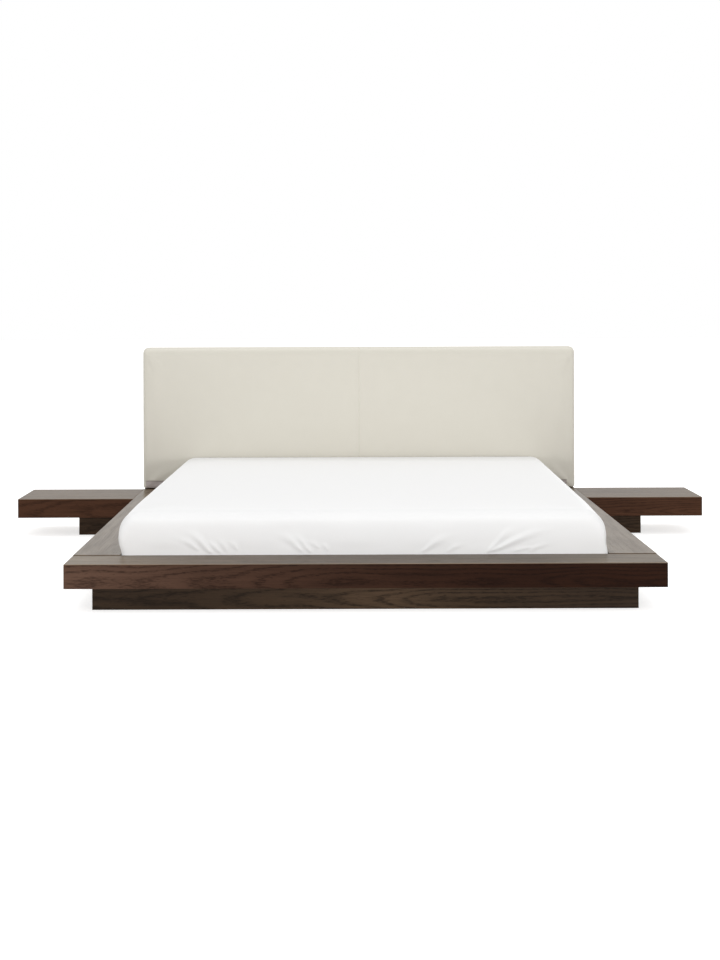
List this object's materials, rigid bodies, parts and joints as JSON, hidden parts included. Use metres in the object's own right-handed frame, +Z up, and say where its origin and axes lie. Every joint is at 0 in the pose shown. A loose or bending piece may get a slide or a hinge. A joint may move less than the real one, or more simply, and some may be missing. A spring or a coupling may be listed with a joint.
{
  "type": "double bed",
  "caption": "Low platform bed: hollow dark wood rails on a recessed plinth, floating bedside shelves, padded headboard, and a mattress lying loose on sprung slats.",
  "frame": {"origin": "on the floor, under the middle of the whole bed", "axes": "+X to the right as seen from the foot end, +Y from the foot end to the headboard, +Z up"},
  "size_m": [2.9, 2.2916, 0.79],
  "materials": {
    "dark_veneer": "satin",
    "plinth_wood": "matte",
    "hardboard": "matte",
    "pine": "matte",
    "beech": "satin",
    "plywood": "matte",
    "headboard_timber": "satin",
    "zinc_steel": "satin",
    "black_plastic": "matte",
    "foam": "matte",
    "cream_leather": "satin",
    "back_cloth": "matte",
    "white_sheet": "matte"
  },
  "bodies": {
    "bed_frame": {"plinth_front_board": "plinth_wood", "plinth_right_board": "plinth_wood", "plinth_left_board": "plinth_wood", "plinth_rear_board": "plinth_wood", "plinth_corner_blocks": "pine", "plinth_fixing_angles": "zinc_steel", "plinth_angle_screws": "zinc_steel", "foot_rail": "dark_veneer", "foot_rail_underside": "hardboard", "right_side_rail": "dark_veneer", "left_side_rail": "dark_veneer", "right_rail_underside": "hardboard", "left_rail_underside": "hardboard", "head_rail": "dark_veneer", "rail_dowels": "beech", "corner_brackets": "zinc_steel", "corner_bracket_screws": "zinc_steel", "slat_ledge_screws": "zinc_steel", "beam_hanger_screws": "zinc_steel", "shelf_bolts": "zinc_steel", "shelf_nuts": "zinc_steel", "headboard_bolts": "zinc_steel", "headboard_nuts": "zinc_steel", "right_slat_ledge": "pine", "left_slat_ledge": "pine", "centre_beam": "pine", "beam_hangers": "zinc_steel", "right_slats": "beech", "left_slats": "beech", "right_slat_caps": "black_plastic", "left_slat_caps": "black_plastic", "centre_slat_caps": "black_plastic", "foot_inserts": "zinc_steel", "headboard_right_leg": "headboard_timber", "headboard_left_leg": "headboard_timber", "headboard_top_bar": "pine", "headboard_bottom_bar": "pine", "headboard_stiles": "pine", "headboard_plywood": "plywood", "headboard_foam": "foam", "headboard_cover_right": "cream_leather", "headboard_cover_left": "cream_leather", "headboard_back_cloth": "back_cloth", "right_shelf": "dark_veneer", "left_shelf": "dark_veneer", "right_shelf_underside": "hardboard", "left_shelf_underside": "hardboard", "right_shelf_foot": "plinth_wood", "left_shelf_foot": "plinth_wood", "shelf_foot_screws": "zinc_steel"},
    "mattress": {"mattress_core": "foam", "fitted_sheet": "white_sheet"},
    "front_foot": {"front_foot_stem": "zinc_steel", "front_foot_pad": "black_plastic"},
    "rear_foot": {"rear_foot_stem": "zinc_steel", "rear_foot_pad": "black_plastic"}
  },
  "joints": [
    {"name": "mattress_lift", "type": "slide", "parent": "bed_frame", "child": "mattress", "axis": [0, 0, 1], "range_m": [0, 0.35]},
    {"name": "front_foot_screw", "type": "slide", "parent": "bed_frame", "child": "front_foot", "axis": [0, 0, 1], "range_m": [-0.01, 0.018]},
    {"name": "rear_foot_screw", "type": "slide", "parent": "bed_frame", "child": "rear_foot", "axis": [0, 0, 1], "range_m": [-0.01, 0.018]}
  ]
}
